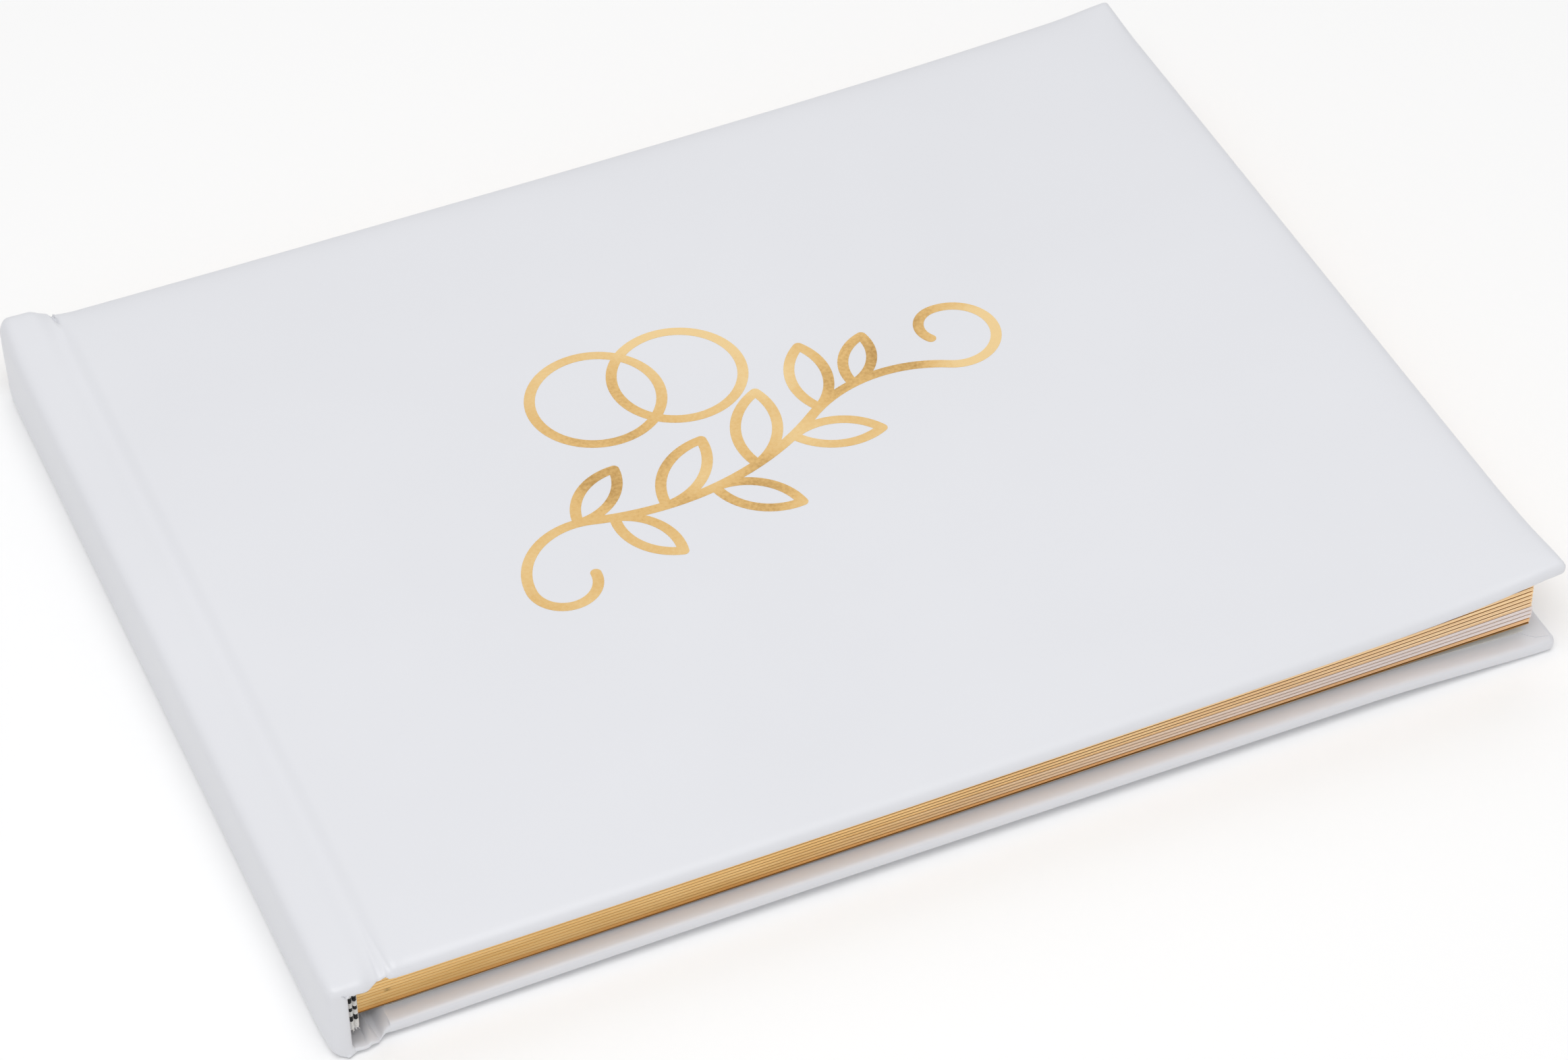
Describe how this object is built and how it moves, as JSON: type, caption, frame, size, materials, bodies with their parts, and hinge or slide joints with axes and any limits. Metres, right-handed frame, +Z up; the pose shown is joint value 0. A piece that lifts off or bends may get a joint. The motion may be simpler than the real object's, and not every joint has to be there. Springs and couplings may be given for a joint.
{
  "type": "wedding guest book",
  "caption": "Hardback landscape guest book with padded white covers, gold foil flourish, gilt-edged leaves and striped headbands; opens flat at the middle.",
  "frame": {"origin": "on the resting surface, under the middle of the closed book", "axes": "+X from the spine to the fore-edge, +Y from the tail to the head, +Z up from the back cover to the front cover"},
  "size_m": [0.2286, 0.1778, 0.0213],
  "materials": {
    "covering": "satin laminated, fine grain",
    "board": "raw grey binder's board",
    "foam": "soft thin padding",
    "endpaper": "smooth",
    "leaf_paper": "smooth, gilt edges",
    "headband": "woven, black and white stripes",
    "mull": "open gauze",
    "liner": "kraft",
    "thread": "linen thread",
    "foil": "hot-stamped gold foil"
  },
  "bodies": {
    "back_cover": {"back_board": "board", "back_cover_wrap": "covering", "back_foam_pad": "foam", "back_joint_wrap": "covering", "back_pastedown": "endpaper", "back_turn_in_fore_edge": "covering", "back_turn_in_head": "covering", "back_turn_in_tail": "covering"},
    "spine": {"head_headband": "headband", "mull": "mull", "section_10_fold": "leaf_paper", "section_11_fold": "leaf_paper", "section_12_fold": "leaf_paper", "section_1_fold": "leaf_paper", "section_2_fold": "leaf_paper", "section_3_fold": "leaf_paper", "section_4_fold": "leaf_paper", "section_5_fold": "leaf_paper", "section_6_fold": "leaf_paper", "section_7_fold": "leaf_paper", "section_8_fold": "leaf_paper", "section_9_fold": "leaf_paper", "sewing_threads": "thread", "spine_board": "board", "spine_liner": "liner", "spine_turn_in_head": "covering", "spine_turn_in_tail": "covering", "spine_wrap": "covering", "tail_headband": "headband"},
    "front_cover": {"front_board": "board", "front_cover_wrap": "covering", "front_foam_pad": "foam", "front_joint_wrap": "covering", "front_pastedown": "endpaper", "front_turn_in_fore_edge": "covering", "front_turn_in_head": "covering", "front_turn_in_tail": "covering", "foil_ornament": "foil"},
    "front_flyleaf": {"front_flyleaf": "endpaper"},
    "section_1_leaves": {"section_1_leaves": "leaf_paper"},
    "section_2_leaves": {"section_2_leaves": "leaf_paper"},
    "section_3_leaves": {"section_3_leaves": "leaf_paper"},
    "section_4_leaves": {"section_4_leaves": "leaf_paper"},
    "section_5_leaves": {"section_5_leaves": "leaf_paper"},
    "section_6_leaves": {"section_6_leaves": "leaf_paper"},
    "back_flyleaf": {"back_flyleaf": "endpaper"},
    "section_12_leaves": {"section_12_leaves": "leaf_paper"},
    "section_11_leaves": {"section_11_leaves": "leaf_paper"},
    "section_10_leaves": {"section_10_leaves": "leaf_paper"},
    "section_9_leaves": {"section_9_leaves": "leaf_paper"},
    "section_8_leaves": {"section_8_leaves": "leaf_paper"},
    "section_7_leaves": {"section_7_leaves": "leaf_paper"}
  },
  "joints": [
    {"name": "front_joint", "type": "hinge", "parent": "spine", "child": "front_cover", "pos_m": [-0.1118, 0, 0.0145], "axis": [0, -1, 0], "range_deg": [0, 89.1]},
    {"name": "back_joint", "type": "hinge", "parent": "back_cover", "child": "spine", "pos_m": [-0.1118, 0, 0.0025], "axis": [0, -1, 0], "range_deg": [0, 90]},
    {"name": "front_flyleaf_turn", "type": "hinge", "parent": "spine", "child": "front_flyleaf", "pos_m": [-0.1118, 0, 0.0145], "axis": [0, -1, 0], "range_deg": [0, 87.6]},
    {"name": "section_1_leaves_turn", "type": "hinge", "parent": "spine", "child": "section_1_leaves", "pos_m": [-0.1118, 0, 0.0145], "axis": [0, -1, 0], "range_deg": [0, 86.9]},
    {"name": "section_2_leaves_turn", "type": "hinge", "parent": "spine", "child": "section_2_leaves", "pos_m": [-0.1118, 0, 0.0145], "axis": [0, -1, 0], "range_deg": [0, 86.1]},
    {"name": "section_3_leaves_turn", "type": "hinge", "parent": "spine", "child": "section_3_leaves", "pos_m": [-0.1118, 0, 0.0145], "axis": [0, -1, 0], "range_deg": [0, 85.1]},
    {"name": "section_4_leaves_turn", "type": "hinge", "parent": "spine", "child": "section_4_leaves", "pos_m": [-0.1118, 0, 0.0145], "axis": [0, -1, 0], "range_deg": [0, 84.1]},
    {"name": "section_5_leaves_turn", "type": "hinge", "parent": "spine", "child": "section_5_leaves", "pos_m": [-0.1118, 0, 0.0145], "axis": [0, -1, 0], "range_deg": [0, 82.9]},
    {"name": "section_6_leaves_turn", "type": "hinge", "parent": "spine", "child": "section_6_leaves", "pos_m": [-0.1118, 0, 0.0145], "axis": [0, -1, 0], "range_deg": [0, 81.6]},
    {"name": "back_flyleaf_turn", "type": "hinge", "parent": "spine", "child": "back_flyleaf", "pos_m": [-0.1118, 0, 0.0025], "axis": [0, -1, 0], "range_deg": [-88.6, 0]},
    {"name": "section_12_leaves_turn", "type": "hinge", "parent": "spine", "child": "section_12_leaves", "pos_m": [-0.1118, 0, 0.0025], "axis": [0, -1, 0], "range_deg": [-87.9, 0]},
    {"name": "section_11_leaves_turn", "type": "hinge", "parent": "spine", "child": "section_11_leaves", "pos_m": [-0.1118, 0, 0.0025], "axis": [0, -1, 0], "range_deg": [-87.1, 0]},
    {"name": "section_10_leaves_turn", "type": "hinge", "parent": "spine", "child": "section_10_leaves", "pos_m": [-0.1118, 0, 0.0025], "axis": [0, -1, 0], "range_deg": [-86.1, 0]},
    {"name": "section_9_leaves_turn", "type": "hinge", "parent": "spine", "child": "section_9_leaves", "pos_m": [-0.1118, 0, 0.0025], "axis": [0, -1, 0], "range_deg": [-85.1, 0]},
    {"name": "section_8_leaves_turn", "type": "hinge", "parent": "spine", "child": "section_8_leaves", "pos_m": [-0.1118, 0, 0.0025], "axis": [0, -1, 0], "range_deg": [-83.9, 0]},
    {"name": "section_7_leaves_turn", "type": "hinge", "parent": "spine", "child": "section_7_leaves", "pos_m": [-0.1118, 0, 0.0025], "axis": [0, -1, 0], "range_deg": [-82.6, 0]}
  ],
  "couplings": [
    {"joint": "front_joint", "follows": "back_joint", "ratio": 0.98889},
    {"joint": "front_flyleaf_turn", "follows": "back_joint", "ratio": 0.97222},
    {"joint": "section_1_leaves_turn", "follows": "back_joint", "ratio": 0.96444},
    {"joint": "section_2_leaves_turn", "follows": "back_joint", "ratio": 0.95556},
    {"joint": "section_3_leaves_turn", "follows": "back_joint", "ratio": 0.94444},
    {"joint": "section_4_leaves_turn", "follows": "back_joint", "ratio": 0.93333},
    {"joint": "section_5_leaves_turn", "follows": "back_joint", "ratio": 0.92},
    {"joint": "section_6_leaves_turn", "follows": "back_joint", "ratio": 0.90556},
    {"joint": "back_flyleaf_turn", "follows": "back_joint", "ratio": -0.98333},
    {"joint": "section_12_leaves_turn", "follows": "back_joint", "ratio": -0.97556},
    {"joint": "section_11_leaves_turn", "follows": "back_joint", "ratio": -0.96667},
    {"joint": "section_10_leaves_turn", "follows": "back_joint", "ratio": -0.95556},
    {"joint": "section_9_leaves_turn", "follows": "back_joint", "ratio": -0.94444},
    {"joint": "section_8_leaves_turn", "follows": "back_joint", "ratio": -0.93111},
    {"joint": "section_7_leaves_turn", "follows": "back_joint", "ratio": -0.91667}
  ]
}
